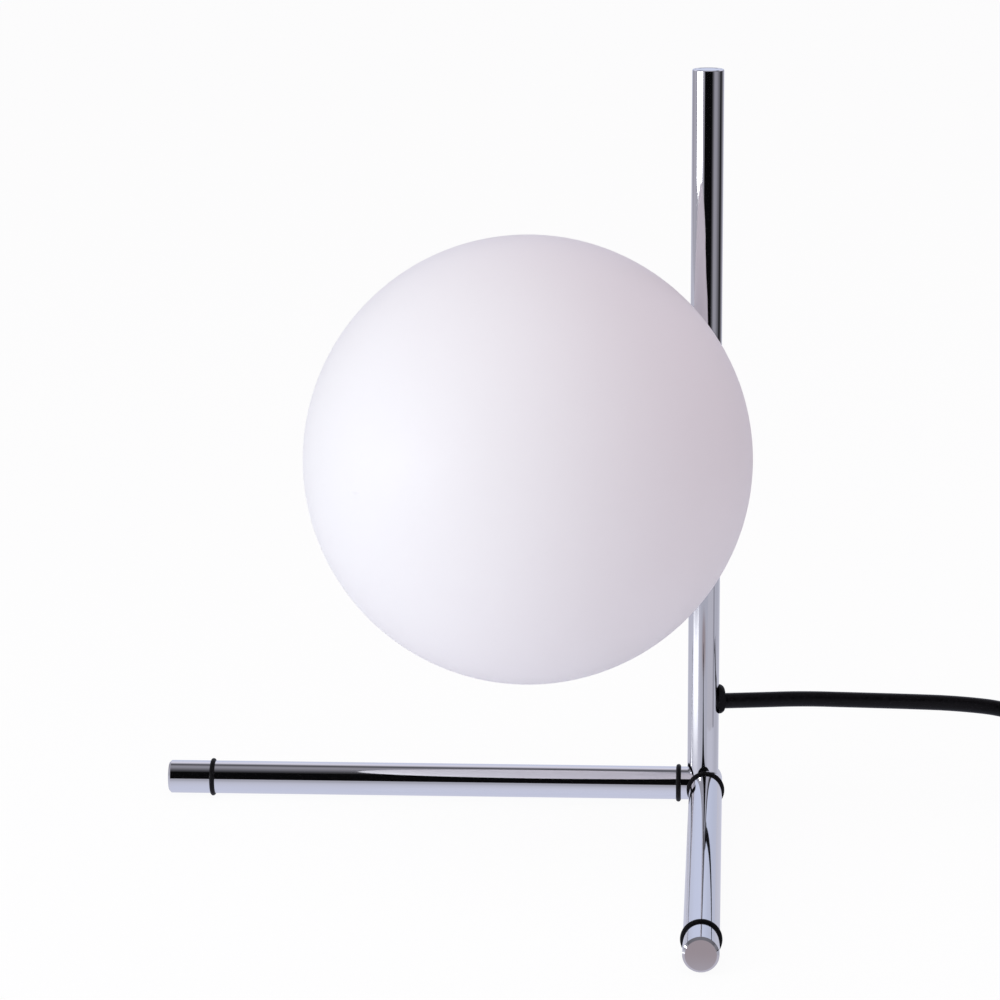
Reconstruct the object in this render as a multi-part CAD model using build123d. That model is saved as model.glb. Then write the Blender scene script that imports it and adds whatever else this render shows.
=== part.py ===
from build123d import *
import math
import os

# Glass globe table lamp: two chromed bars on rubber rings carry an upright tube, and
# an opal globe screws to a fitter on the tube's side. Millimetres, +Z up.
#
# The origin is the middle of the lamp's footprint on the table. The front leg runs
# towards -Y, the side leg towards -X, and the cord leaves the upright towards +X.

# Overall
height = 380.0  # table to the top of the upright
leg_length = 278.0  # upright's axis to each leg's free end
leg_radius = 8.5
leg_rear = 9.5  # front leg's stub behind the upright's axis
leg_offset = 1.5  # front leg's axis lies this far outboard of the upright's
leg_bevel = 1.2

# Rubber rings that the legs stand on
ring_section_radius = 1.25
ring_flat = 0.15  # what the table flattens
outer_ring_inset = 23.0  # from a leg's free end
inner_ring_distance = 12.5  # from the upright's axis
groove_gap = 0.05

# Upright
post_radius = 8.0
post_wall = 1.5
post_edge = 0.4
press_gap = 0.02
thread_gap = 0.05
foot_plug_height = 22.0
top_cap_height = 8.0

# Bolt from below
bolt_radius = 3.0
bolt_head_radius = 5.0
bolt_head_height = 6.0
bolt_recess = 1.0
bolt_grip = 10.5  # head to the top of the leg
bolt_thread = 15.0
bolt_socket_radius = 2.9
bolt_socket_depth = 3.0
bolt_hole_gap = 0.3

# Globe
globe_radius = 110.0
globe_wall = 2.5
globe_height = 198.0  # centre above the table
neck_radius = 34.0
neck_land = 1.25  # ground rim round the opening

# Fitter between the upright and the globe, stacked outwards along its axis
saddle_standoff = 4.4
saddle_radius = 11.0
saddle_wrap = 4.0  # how far from the upright's axis the saddle's lips start
plate_radius = 31.0
plate_thickness = 2.3
thread_radius = 29.5  # fitter's outside thread
thread_wall = 2.0
thread_length = 11.5
thread_clearance = 0.3
seal_gap = 0.3
seal_thickness = 1.2
seal_width = 3.0
collar_flange = 1.5
collar_flange_radius = 36.5
collar_gap = 0.3  # cement between the collar and the glass
collar_depth = 10.0

# Hollow threaded tube, its anchor in the upright, and its nut
nipple_radius = 5.0
nipple_bore = 3.75
nipple_tail = 3.0  # reach past the upright's axis, away from the globe
nipple_length = 23.0
anchor_height = 24.0
anchor_bore = 4.3
nut_flats_radius = 7.0
nut_height = 3.0
earth_screw_drop = 13.0  # below the fitter's axis

# Lamp socket and its bracket
bracket_width = 12.0
bracket_span = 27.0
bracket_gauge = 1.2
bracket_height = 13.5
bracket_tab = 6.5
socket_length = 26.0
socket_width = 13.0
socket_height = 12.0
socket_corner = 3.0
socket_screw_spacing = 20.0
screw_radius = 1.5
screw_head_radius = 2.6
screw_head_height = 1.6
screw_gap = 0.15
pin_spacing = 9.0
pin_well_radius = 1.9
pin_well_depth = 9.0
contact_radius = 1.7
contact_bore = 1.2
contact_length = 6.0
wire_entry_radius = 1.15

# Capsule bulb
bulb_pin_radius = 0.7
bulb_pin_length = 7.0
bulb_seat_gap = 0.3
bulb_base_radius = 7.6
bulb_base_height = 15.0
bulb_radius = 8.0
bulb_wall = 0.8
bulb_length = 34.0
led_core_radius = 4.2
led_size = 2.4
bulb_core_gap = 12.0  # light source to the dome's end
chip_rises = (6.0, 14.0)
chip_height = 0.5

# Cord, its bushing in the upright and the cores inside
cord_radius = 4.0
cord_height = 53.5
exit_turn = 8.0  # degrees from +X towards +Y
exit_lead = 16.0  # straight run outside the bushing
spot_face_depth = 0.5
bushing_radius = 7.6
bushing_rim = 0.9
bushing_nose_radius = 5.0
bushing_head = 3.5
bushing_rise = 1.1  # the head's middle above the cord's
bushing_flat = 5.2  # cord's axis to the flat on each side of the head
bushing_barrel_radius = 5.2
bushing_barrel = 2.7
crimp_radius = 5.0
crimp_length = 2.8
entry_sheath_length = 10.2
core_radius = 1.0
core_spacing = 2.3
core_bend = 2.6
core_setback = 3.0  # where the cores turn up, behind the upright's axis
earth_washer = 1.6

# In-line switch, lying along Y
switch_x = 430.0
switch_y = 33.0
switch_length = 66.0
switch_width = 29.0
switch_height = 19.5
switch_split = 9.5  # height of the joint between base and cover
switch_wall = 2.0
switch_corner = 7.0
switch_edge = 2.0
switch_fit = 0.2
boot_length = 20.0
boot_root_radius = 6.0
boot_tip_radius = 4.8
boot_flange_radius = 7.2
boot_flange = 1.6
boot_rib_count = 4
boot_rib_depth = 0.5
boot_rib_width = 1.5
rocker_length = 21.0
rocker_width = 12.5
rocker_depth = 9.0
rocker_gap = 0.35
rocker_rise = 2.2
rocker_tilt = 8.0  # degrees each way from level
rocker_pin_radius = 1.4
rocker_pin_length = 1.6
rocker_axis_drop = 2.6  # below the cover's top
rocker_cheek = 2.6
rocker_heel_width = 4.0
rocker_heel_gap = 0.5  # heel to the blade
switch_screw_spacing = 44.0
switch_screw_edge = 6.5  # from the long side
switch_boss_radius = 3.0
switch_screw_seat = 2.6  # height of the seat for the screw's head
cheek_half_length = 4.5
cheek_drop = 4.0
terminal_size = 7.0
terminal_spacing = 26.0
terminal_height = 6.0
blade_thickness = 0.6
blade_width = 5.0
through_core_offset = 5.0  # to the side of the terminals

# Coil of spare cord
coil_x = 336.0
coil_y = -23.4
coil_inner_radius = 31.0
coil_turns = 4.75
coil_clearance = 0.66
coil_floor_gap = 1.3  # the tie passes under the turns
coil_straight = 2 * cord_radius
tie_angle = 180.0
tie_width = 9.0
tie_thickness = 0.8
tie_gap = 0.5

# Mains plug, lying with its pins towards -Y
plug_y = -109.0  # where the cord enters the boot
plug_radius = 18.5
plug_drum = 17.0
plug_neck_radius = 12.5
plug_body = 36.0
plug_boot = 30.0
plug_boot_root = 6.4
plug_boot_tip = 4.9
plug_edge = 2.0
plug_rib_count = 5
plug_rib_start = 5.0
plug_rib_pitch = 4.6
plug_rib_width = 1.8
plug_rib_depth = 0.6
plug_channel_width = 6.0
plug_channel_depth = 2.6
earth_clip_thickness = 0.8
plug_pin_radius = 2.4
plug_pin_length = 19.0
plug_pin_spacing = 19.0
plug_pin_tip = 1.2
plug_pin_root_radius = 1.9
plug_pin_root = 8.0  # moulded into the body

# Worked out from the sizes above
cord_diameter = 2 * cord_radius
leg_z = leg_radius + ring_section_radius - ring_flat
plate_face = post_radius + saddle_standoff + plate_thickness
rim_distance = math.sqrt(globe_radius**2 - (neck_radius + neck_land) ** 2)
rim_w = plate_face + seal_gap + seal_thickness + collar_flange
globe_reach = rim_w + rim_distance  # upright's axis to the globe's centre
globe_across = globe_reach / math.sqrt(2)
far_side = globe_radius - globe_across
post_x = (leg_length - far_side) / 2
post_y = post_x
front_leg_x = post_x + leg_offset
post_bore = post_radius - post_wall
collar_bore = thread_radius + thread_clearance
collar_radius = neck_radius - collar_gap
spot_face = post_radius - spot_face_depth
exit_x = math.cos(math.radians(exit_turn))
exit_y = math.sin(math.radians(exit_turn))
exit_reach = spot_face + bushing_head
cord_exit = (post_x + exit_reach * exit_x, post_y + exit_reach * exit_y, cord_height)
layer_pitch = cord_diameter + coil_clearance
coil_outer_radius = coil_inner_radius + layer_pitch * coil_turns / 2
coil_low_z = coil_floor_gap + cord_radius
coil_high_z = coil_low_z + layer_pitch
coil_start = (coil_x, coil_y - coil_outer_radius)
coil_end = (coil_x + coil_outer_radius, coil_y)
plug_x = coil_end[0]
plug_z = plug_radius
boot_z = switch_split
socket_w = plate_face + bracket_height

# Post frame: local Z is the upright's axis. Fitter frame: local Z points from the
# upright to the globe's centre, local X is level and local Y is up. Exit frame:
# local Z points along the cord as it leaves.
post_frame = Location((post_x, post_y, 0))
fitter_frame = Plane(
    origin=(post_x, post_y, globe_height), x_dir=(1, -1, 0), z_dir=(-1, -1, 0)
).location
exit_frame = Plane(
    origin=(post_x, post_y, cord_height), x_dir=(-exit_y, exit_x, 0), z_dir=(exit_x, exit_y, 0)
).location


def rod(radius, low, high, x=0.0, y=0.0):
    """A cylinder along local Z from low to high."""
    return Pos(x, y, (low + high) / 2) * Cylinder(radius, high - low)


def pipe(bore, radius, low, high, x=0.0, y=0.0):
    return rod(radius, low, high, x, y) - rod(bore, low - 1, high + 1, x, y)


def turned(*profile):
    """A solid turned about local Z from (radius, height) points or ready edges."""
    if isinstance(profile[0], tuple):
        outline = Polyline(*[(r, 0, h) for r, h in profile], close=True)
    else:
        outline = Curve() + list(profile)
    return revolve(make_face(outline.edges()), Axis.Z)


def block(x0, x1, y0, y1, z0, z1):
    return Pos((x0 + x1) / 2, (y0 + y1) / 2, (z0 + z1) / 2) * Box(x1 - x0, y1 - y0, z1 - z0)


def rounded_block(length, width, low, high, corner):
    """An upright-sided block with rounded corners, long along local Y."""
    face = RectangleRounded(width, length, corner)
    return Pos(0, 0, low) * extrude(face, amount=high - low)


# Legs, rings and the bolt

front_leg_frame = Plane(origin=(front_leg_x, post_y, leg_z), x_dir=(1, 0, 0), z_dir=(0, -1, 0)).location
side_leg_frame = Plane(origin=(post_x, post_y, leg_z), x_dir=(0, 1, 0), z_dir=(-1, 0, 0)).location
ring_places = {"inner": inner_ring_distance, "outer": leg_length - outer_ring_inset}


def leg_bar(rear):
    """A bevelled bar along local Z with a groove for each ring."""
    bar = rod(leg_radius, -rear, leg_length)
    bar = chamfer(bar.edges().filter_by(GeomType.CIRCLE), leg_bevel)
    for place in ring_places.values():
        bar -= Pos(0, 0, place) * Torus(leg_radius, ring_section_radius + groove_gap)
    return bar


def bolt_hole():
    """Clearance for the bolt and its head, up through both legs."""
    seat = leg_z - leg_radius + bolt_recess + bolt_head_height
    head = rod(bolt_head_radius + bolt_hole_gap, -1, seat)
    shank = rod(bolt_radius + bolt_hole_gap, 0, leg_z + leg_radius + 1)
    return post_frame * (head + shank)


def front_leg():
    return front_leg_frame * leg_bar(leg_rear) - bolt_hole()


def side_leg():
    """Coped to the front leg, where it is brazed on."""
    bar = side_leg_frame * leg_bar(leg_rear)
    front_half = block(
        front_leg_x, front_leg_x + leg_length, post_y - leg_length, post_y + leg_length, 0, height
    )
    across = front_leg_frame * rod(leg_radius, -2 * leg_radius, 2 * leg_radius)
    return bar - front_half - across - bolt_hole()


def leg_shapes():
    """What the upright's foot and its plug are coped to."""
    across = front_leg_frame * rod(leg_radius, -2 * leg_radius, 2 * leg_radius)
    along = side_leg_frame * rod(leg_radius, -leg_offset, 3 * leg_radius)
    return across + along


def foot_ring(leg_frame, place):
    ring = leg_frame * (Pos(0, 0, place) * Torus(leg_radius, ring_section_radius))
    table = block(-leg_length, leg_length, -leg_length, leg_length, -leg_radius, 0)
    return ring - table


def post_bolt():
    seat = leg_z - leg_radius + bolt_recess + bolt_head_height
    head = rod(bolt_head_radius, seat - bolt_head_height, seat)
    socket = extrude(RegularPolygon(bolt_socket_radius, 6), amount=bolt_socket_depth)
    head -= Pos(0, 0, seat - bolt_head_height) * socket
    tip = seat + bolt_grip + bolt_thread
    shank = chamfer(rod(bolt_radius, seat, tip).edges().group_by(Axis.Z)[-1], 0.5)
    return post_frame * (head + shank)


# Upright

def post_tube():
    tube = post_frame * pipe(post_bore, post_radius, leg_z, height)
    tube = chamfer(tube.edges().group_by(Axis.Z)[-1], post_edge)
    tube -= leg_shapes()
    tube -= exit_frame * rod(bushing_barrel_radius, 0, 2 * post_radius)
    seat = rod(bushing_radius + switch_fit, spot_face, 2 * post_radius, 0, bushing_rise)
    tube -= exit_frame * seat
    tube -= fitter_frame * rod(nipple_radius + thread_gap, 0, 2 * post_radius)
    return tube


def post_foot_plug():
    top = leg_z + leg_radius + foot_plug_height
    plug = post_frame * rod(post_bore - press_gap, leg_z, top)
    return plug - leg_shapes() - post_frame * rod(bolt_radius + thread_gap, 0, top - 2)


def post_top_cap():
    cap = rod(post_bore - press_gap, height - top_cap_height, height - 0.1)
    return post_frame * chamfer(cap.edges().filter_by(GeomType.CIRCLE), post_edge / 2)


# Fitter on the upright's side

def post_anchor():
    """Plug inside the upright that the hollow tube screws into."""
    half = anchor_height / 2
    anchor = Pos(0, 0, globe_height) * rod(post_bore - press_gap, -half, half)
    anchor -= Pos(0, 0, globe_height) * rod(anchor_bore, -half - 1, 0)
    threaded = rod(nipple_radius + thread_gap, -nipple_tail, 2 * post_radius)
    return post_frame * anchor - fitter_frame * threaded


def hollow_nipple():
    tube = pipe(nipple_bore, nipple_radius, -nipple_tail, nipple_length - nipple_tail)
    cores_way = Rot(90, 0, 0) * rod(anchor_bore, 0, 2 * nipple_radius)
    return fitter_frame * (tube - cores_way)


def fitter_saddle():
    boss = pipe(nipple_radius + thread_gap, saddle_radius, saddle_wrap, post_radius + saddle_standoff)
    return fitter_frame * boss - post_frame * rod(post_radius, 0, height)


def globe_fitter():
    """Plate with the outside thread that the globe's collar turns on."""
    back = post_radius + saddle_standoff
    inner = thread_radius - thread_wall
    top = plate_face + thread_length
    cup = turned(
        (nipple_radius + thread_gap, back),
        (plate_radius, back),
        (plate_radius, plate_face),
        (thread_radius, plate_face),
        (thread_radius, top - 0.6),
        (thread_radius - 0.6, top),
        (inner, top),
        (inner, plate_face),
        (nipple_radius + thread_gap, plate_face),
    )
    cup -= rod(screw_radius + thread_gap, back - 1, plate_face + 1, 0, -earth_screw_drop)
    return fitter_frame * cup


def nipple_nut():
    low = plate_face + bracket_gauge
    hexagon = RegularPolygon(nut_flats_radius, 6, major_radius=False)
    nut = Pos(0, 0, low) * extrude(hexagon, amount=nut_height)
    return fitter_frame * (nut - rod(nipple_radius + thread_gap, 0, low + 2 * nut_height))


def socket_bracket():
    """Bent strip: a base under the nut, two arms and two inward tabs."""
    half = bracket_span / 2
    y0 = -bracket_width / 2
    y1 = bracket_width / 2
    strip = block(-half, half, y0, y1, plate_face, plate_face + bracket_gauge)
    for side in (-1, 1):
        near, far = sorted((side * half, side * (half - bracket_gauge)))
        strip += block(near, far, y0, y1, plate_face, socket_w)
        near, far = sorted((side * half, side * (half - bracket_tab)))
        strip += block(near, far, y0, y1, socket_w - bracket_gauge, socket_w)
        strip -= rod(
            screw_radius + screw_gap, socket_w - 3, socket_w + 1, side * socket_screw_spacing / 2
        )
    return fitter_frame * (strip - rod(nipple_radius + thread_gap, 0, socket_w - 5))


def lamp_socket():
    """Ceramic block with two pin wells, wire entries and counterbored screw holes."""
    top = socket_w + socket_height
    body = rounded_block(socket_width, socket_length, socket_w, top, socket_corner)
    body = chamfer(body.edges().group_by(Axis.Z)[-1], 0.8)
    for side in (-1, 1):
        well = side * pin_spacing / 2
        body -= rod(pin_well_radius, top - pin_well_depth, top + 1, well)
        body -= rod(wire_entry_radius, socket_w - 1, top - pin_well_depth + 1, well)
        hole = side * socket_screw_spacing / 2
        body -= rod(screw_radius + screw_gap, socket_w - 1, top + 1, hole)
        body -= rod(screw_head_radius + screw_gap, top - 3, top + 1, hole)
    return fitter_frame * body


def socket_contacts():
    """A split sleeve in each well, which grips one of the bulb's pins."""
    low = socket_w + socket_height - pin_well_depth
    sleeves = []
    for side in (-1, 1):
        well = side * pin_spacing / 2
        sleeve = pipe(contact_bore, contact_radius, low, low + contact_length, well)
        slit = block(well - 0.25, well + 0.25, 0, 3, low + 1, low + contact_length + 1)
        sleeves.append(fitter_frame * (sleeve - slit))
    return Compound(sleeves)


def socket_screws():
    seat = socket_w + socket_height - 3
    screws = []
    for side in (-1, 1):
        x = side * socket_screw_spacing / 2
        screw = rod(screw_radius, socket_w - bracket_gauge - 1.5, seat, x)
        screw += rod(screw_head_radius, seat, seat + screw_head_height, x)
        screw -= block(x - 2, x + 2, -0.4, 0.4, seat + 0.8, seat + screw_head_height + 1)
        screws.append(fitter_frame * screw)
    return Compound(screws)


# Globe

def glass_globe():
    shell = Sphere(globe_radius) - Sphere(globe_radius - globe_wall)
    centre = Pos(0, 0, globe_reach)
    glass = centre * shell - rod(neck_radius, 0, globe_reach)
    glass -= rod(globe_radius, rim_w - globe_radius, rim_w)
    return fitter_frame * glass


def globe_collar():
    """Threaded ring cemented into the neck, with a flange on the ground rim."""
    low = rim_w - collar_flange
    top = rim_w + collar_depth
    ring = turned(
        (collar_bore, low),
        (collar_flange_radius, low),
        (collar_flange_radius, rim_w),
        (collar_radius, rim_w),
        (collar_radius, top),
        (collar_bore, top),
    )
    return fitter_frame * ring


def globe_seal():
    low = plate_face + seal_gap
    ring = pipe(collar_bore, collar_bore + seal_width, low, low + seal_thickness)
    return fitter_frame * ring


# Bulb

def bulb_base():
    low = socket_w + socket_height + bulb_seat_gap
    top = low + bulb_base_height
    base = turned(
        (0, low),
        (bulb_base_radius - 1, low),
        (bulb_base_radius, low + 1),
        (bulb_base_radius, top),
        (0, top),
    )
    return fitter_frame * base


def bulb_pins():
    low = socket_w + socket_height + bulb_seat_gap
    pins = []
    for side in (-1, 1):
        pin = rod(bulb_pin_radius, low - bulb_pin_length, low, side * pin_spacing / 2)
        pin = chamfer(pin.edges().group_by(Axis.Z)[0], 0.3)
        pins.append(fitter_frame * pin)
    return Compound(pins)


def bulb_envelope():
    """Clear cover with a domed end over the light source."""
    low = socket_w + socket_height + bulb_seat_gap + bulb_base_height
    shoulder = low + bulb_length - bulb_radius
    cover = rod(bulb_radius, low, shoulder) + Pos(0, 0, shoulder) * Sphere(bulb_radius)
    inside = bulb_radius - bulb_wall
    cover -= rod(inside, low - 1, shoulder) + Pos(0, 0, shoulder) * Sphere(inside)
    return fitter_frame * cover


def bulb_led_core():
    """Six-sided board carrier with a light chip on each face, twice."""
    low = socket_w + socket_height + bulb_seat_gap + bulb_base_height
    core = Pos(0, 0, low) * extrude(RegularPolygon(led_core_radius, 6), amount=bulb_length - bulb_core_gap)
    apothem = led_core_radius * math.cos(math.radians(30))
    for turn in range(6):
        for rise in chip_rises:
            half = led_size / 2
            chip = block(apothem - 0.2, apothem + chip_height, -half, half, 0, led_size)
            core += Rot(0, 0, 30 + 60 * turn) * Pos(0, 0, low + rise) * chip
    return fitter_frame * core


# Cord entry and the cores inside the upright

def cord_bushing():
    """Domed black bushing with flat sides on a spot face, and a barrel through the wall."""
    nose = spot_face + bushing_head
    head = turned(
        Line((0, 0, spot_face), (bushing_radius, 0, spot_face)),
        Line((bushing_radius, 0, spot_face), (bushing_radius, 0, spot_face + bushing_rim)),
        ThreePointArc(
            (bushing_radius, 0, spot_face + bushing_rim),
            (bushing_radius - 0.75, 0, spot_face + 0.72 * bushing_head),
            (bushing_nose_radius, 0, nose),
        ),
        Line((bushing_nose_radius, 0, nose), (0, 0, nose)),
        Line((0, 0, nose), (0, 0, spot_face)),
    )
    head &= block(-bushing_flat, bushing_flat, -bushing_radius, bushing_radius, spot_face, nose)
    barrel = rod(bushing_barrel_radius, spot_face - bushing_barrel, spot_face)
    way = rod(cord_radius, 0, nose + 1)
    return exit_frame * (Pos(0, bushing_rise, 0) * head + barrel - way)


def cord_entry_sheath():
    nose = spot_face + bushing_head
    return exit_frame * rod(cord_radius, nose - entry_sheath_length, nose)


def cord_crimp():
    """Crimped ring that keeps the cord from being pulled out."""
    high = spot_face - bushing_barrel
    return exit_frame * pipe(cord_radius, crimp_radius, high - crimp_length, high)


def tube_along(points, radius, bend):
    path = FilletPolyline(*points, radius=bend)
    start = Plane(origin=points[0], z_dir=Vector(*points[1]) - Vector(*points[0]))
    return sweep(start * Circle(radius), path=path)


def fitter_point(x, y, w):
    spot = fitter_frame * Pos(x, y, w)
    return tuple(spot.position)


def core_rise(place):
    """A core's route from the sheath's end up the upright and into the hollow tube."""
    side = place * core_spacing
    tail = exit_frame * Pos(-side, 0, spot_face + bushing_head - entry_sheath_length)
    corner = exit_frame * Pos(-side, 0, -core_setback)
    level = -1.0 if place == 0 else 0.0
    return [
        tuple(tail.position),
        tuple(corner.position),
        fitter_point(side, level - 16, 0),
        fitter_point(side, level, 0),
    ]


def socket_core(place):
    """A supply core, which ends under one of the socket's contacts."""
    well = place * pin_spacing / 2
    points = core_rise(place) + [
        fitter_point(place * core_spacing, 0, socket_w - 5.5),
        fitter_point(well, 0, socket_w - 2.5),
        fitter_point(well, 0, socket_w + socket_height - pin_well_depth),
    ]
    return tube_along(points, core_radius, [core_bend, 6.0, core_bend, 1.4, 1.4])


def line_core():
    return socket_core(-1)


def neutral_core():
    return socket_core(1)


def earth_core():
    """The earth core, which ends under the bonding screw on the plate."""
    over = nipple_length - nipple_tail + 2.2
    points = core_rise(0) + [
        fitter_point(0, -1.0, over),
        fitter_point(0, -earth_screw_drop, over),
        fitter_point(0, -earth_screw_drop, plate_face + earth_washer),
    ]
    return tube_along(points, core_radius, [core_bend, 6.0, core_bend, 1.4, 1.4])


def earth_screw():
    """Screw and cup washer on the plate that bond the metalwork to the earth core."""
    screw = rod(screw_radius, plate_face - plate_thickness, plate_face + earth_washer)
    screw += rod(screw_head_radius + 0.6, plate_face, plate_face + earth_washer)
    return fitter_frame * (Pos(0, -earth_screw_drop, 0) * screw)


# In-line switch

switch_frame = Location((switch_x, switch_y, 0))
rocker_axis_z = switch_height - rocker_axis_drop


def switch_outside(low, high):
    return rounded_block(switch_length, switch_width, low, high, switch_corner)


def switch_inside(low, high):
    return rounded_block(
        switch_length - 2 * switch_wall,
        switch_width - 2 * switch_wall,
        low,
        high,
        switch_corner - switch_wall,
    )


def boot_way():
    """The hole through both end walls, and the pocket for each boot's flange."""
    reach = switch_length / 2
    hole = Rot(90, 0, 0) * rod(boot_root_radius, -reach - 1, reach + 1)
    return Pos(0, 0, boot_z) * hole


def switch_screw_places():
    x = switch_width / 2 - switch_screw_edge
    return [(x, side * switch_screw_spacing / 2) for side in (-1, 1)]


def switch_base():
    body = switch_outside(0, switch_split)
    body = fillet(body.edges().group_by(Axis.Z)[0], switch_edge)
    body -= switch_inside(switch_wall, switch_split + 1)
    for x, y in switch_screw_places():
        body += rod(switch_boss_radius, switch_wall, switch_split - switch_fit, x, y)
        body -= rod(screw_radius + screw_gap, -1, switch_split + 1, x, y)
        body -= rod(screw_head_radius + screw_gap, -1, switch_screw_seat, x, y)
    return switch_frame * (body - boot_way())


def switch_cover():
    body = switch_outside(switch_split, switch_height)
    body = fillet(body.edges().group_by(Axis.Z)[-1], switch_edge)
    body -= switch_inside(switch_split - 1, switch_height - switch_wall)
    for side in (-1, 1):
        inner = side * (rocker_width / 2 + rocker_gap)
        outer = side * (rocker_width / 2 + rocker_gap + rocker_cheek)
        near, far = sorted((inner, outer))
        low = rocker_axis_z - cheek_drop
        body += block(near, far, -cheek_half_length, cheek_half_length, low, switch_height - switch_wall)
    for x, y in switch_screw_places():
        body += rod(switch_boss_radius, switch_split, switch_height - switch_wall, x, y)
        depth = switch_height - switch_wall - 0.5
        body -= rod(screw_radius + thread_gap, switch_split - 1, depth, x, y)
    body -= block(
        -rocker_width / 2 - rocker_gap,
        rocker_width / 2 + rocker_gap,
        -rocker_length / 2 - rocker_gap,
        rocker_length / 2 + rocker_gap,
        switch_height - switch_wall - 1,
        switch_height + 1,
    )
    reach = rocker_width / 2 + rocker_pin_length + rocker_gap
    body -= Pos(0, 0, rocker_axis_z) * Rot(0, 90, 0) * rod(rocker_pin_radius + 0.1, -reach, reach)
    return switch_frame * (body - boot_way())


def switch_rocker():
    """Rocker tilted to its off end, with a pin each side."""
    half = rocker_length / 2
    crown = switch_height + rocker_rise - rocker_axis_z
    side = Polyline(
        (-half, 1.2),
        (-half + 0.6, crown),
        (0, crown - 1.5),
        (half - 0.6, crown),
        (half, 1.2),
        (3.0, rocker_pin_radius - rocker_depth / 2),
        (-3.0, rocker_pin_radius - rocker_depth / 2),
        close=True,
    )
    body = extrude(Plane.YZ * make_face(side.edges()), amount=rocker_width / 2, both=True)
    reach = rocker_width / 2 + rocker_pin_length
    body += Rot(0, 90, 0) * rod(rocker_pin_radius, -reach, reach)
    blade_top = switch_wall + terminal_height + blade_thickness + rocker_heel_gap
    half = rocker_heel_width / 2
    body += block(-half, half, -half, half, blade_top - rocker_axis_z, 0)
    return switch_frame * Pos(0, 0, rocker_axis_z) * Rot(rocker_tilt, 0, 0) * body


def switch_boot(side):
    """Tapered, ribbed strain relief moulded onto the sheath, with its captive flange."""
    root = switch_length / 2 - switch_wall - switch_fit
    tip = switch_length / 2 + boot_length
    boot = turned(
        (0, root - boot_flange),
        (boot_flange_radius, root - boot_flange),
        (boot_flange_radius, root),
        (boot_root_radius, root),
        (boot_root_radius, switch_length / 2 + 1),
        (boot_tip_radius, tip),
        (0, tip),
    )
    for rib in range(boot_rib_count):
        place = switch_length / 2 + 3.5 + rib * 2.2 * boot_rib_width
        share = (place - switch_length / 2) / boot_length
        radius = boot_root_radius + share * (boot_tip_radius - boot_root_radius)
        boot -= pipe(radius - boot_rib_depth, 2 * radius, place, place + boot_rib_width)
    turn = -90 if side > 0 else 90
    return switch_frame * Pos(0, 0, boot_z) * Rot(turn, 0, 0) * boot


def switch_terminals():
    """Brass terminal blocks on the base, one at each end of the switched line."""
    blocks = []
    for side in (-1, 1):
        y = side * terminal_spacing / 2
        half = terminal_size / 2
        low = switch_wall
        brass = block(-half, half, y - half, y + half, low, low + terminal_height)
        brass -= Pos(0, 0, low + terminal_height / 2) * Rot(90, 0, 0) * rod(
            core_radius + 0.1, -terminal_spacing, terminal_spacing
        )
        blocks.append(switch_frame * brass)
    return Compound(blocks)


def switch_line_cores():
    """The line's two ends, from each boot into its terminal."""
    cores = []
    root = switch_length / 2 - switch_wall - switch_fit - boot_flange
    z = switch_wall + terminal_height / 2
    for side in (-1, 1):
        low, high = sorted((side * (terminal_spacing / 2 - 2), side * root))
        cores.append(switch_frame * Pos(0, 0, z) * Rot(-90, 0, 0) * rod(core_radius, low, high))
    return Compound(cores)


def switch_through_cores():
    """Neutral and earth, which pass the switch without a break."""
    cores = []
    root = switch_length / 2 - switch_wall - switch_fit - boot_flange
    for drop in (0.5, 3.3):
        core = Rot(-90, 0, 0) * rod(core_radius, -root, root)
        cores.append(switch_frame * Pos(-through_core_offset, 0, boot_z - drop) * core)
    return Compound(cores)


def switch_blade():
    """Sprung strip on one terminal that the rocker's heel pushes onto the other."""
    top = switch_wall + terminal_height
    reach = terminal_spacing / 2
    strip = block(-blade_width / 2, blade_width / 2, -reach - 3, -reach + 3, top, top + blade_thickness)
    arm = block(-blade_width / 2, blade_width / 2, -reach + 3, reach, top, top + blade_thickness)
    return switch_frame * (strip + arm)


def switch_screws():
    screws = []
    for x, y in switch_screw_places():
        bottom = switch_screw_seat - screw_head_height
        screw = rod(screw_radius, switch_screw_seat, switch_split + 6, x, y)
        screw += rod(screw_head_radius, bottom, switch_screw_seat, x, y)
        screw -= block(x - 2, x + 2, y - 0.4, y + 0.4, bottom - 1, bottom + 0.8)
        screws.append(switch_frame * screw)
    return Compound(screws)


# Cord outside the lamp: each list is chosen by hand, first point to last

lamp_run_points = [
    cord_exit,
    (cord_exit[0] + exit_lead * exit_x, cord_exit[1] + exit_lead * exit_y, cord_height),
    (178.0, 133.4, 53.9),
    (204.0, 135.2, 53.0),
    (232.0, 136.4, 52.2),
    (258.0, 137.2, 51.3),
    (285.0, 138.0, 48.3),
    (311.0, 139.0, 37.3),
    (335.0, 140.8, 21.5),
    (359.0, 143.5, 8.8),
    (382.6, 145.9, 3.7),
    (403.0, 141.2, 4.9),
    (420.5, 127.9, 7.2),
    (switch_x, 108.1, boot_z),
    (switch_x, switch_y + switch_length / 2 + boot_length, boot_z),
]
coil_run_points = [
    (switch_x, switch_y - switch_length / 2 - boot_length, boot_z),
    (switch_x, -37.0, boot_z),
    (424.6, -54.0, 8.4),
    (412.8, -67.0, 6.9),
    (396.0, -74.3, 5.6),
    (372.0, coil_start[1], coil_low_z),
    (coil_start[0] + coil_straight, coil_start[1], coil_low_z),
]
plug_run_points = [
    (coil_end[0], coil_end[1] - coil_straight, coil_high_z),
    (coil_end[0], -49.0, coil_high_z),
    (387.9, -65.0, 16.0),
    (387.4, -81.0, 17.6),
    (plug_x, -95.0, plug_z),
    (plug_x, plug_y, plug_z),
]


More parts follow.
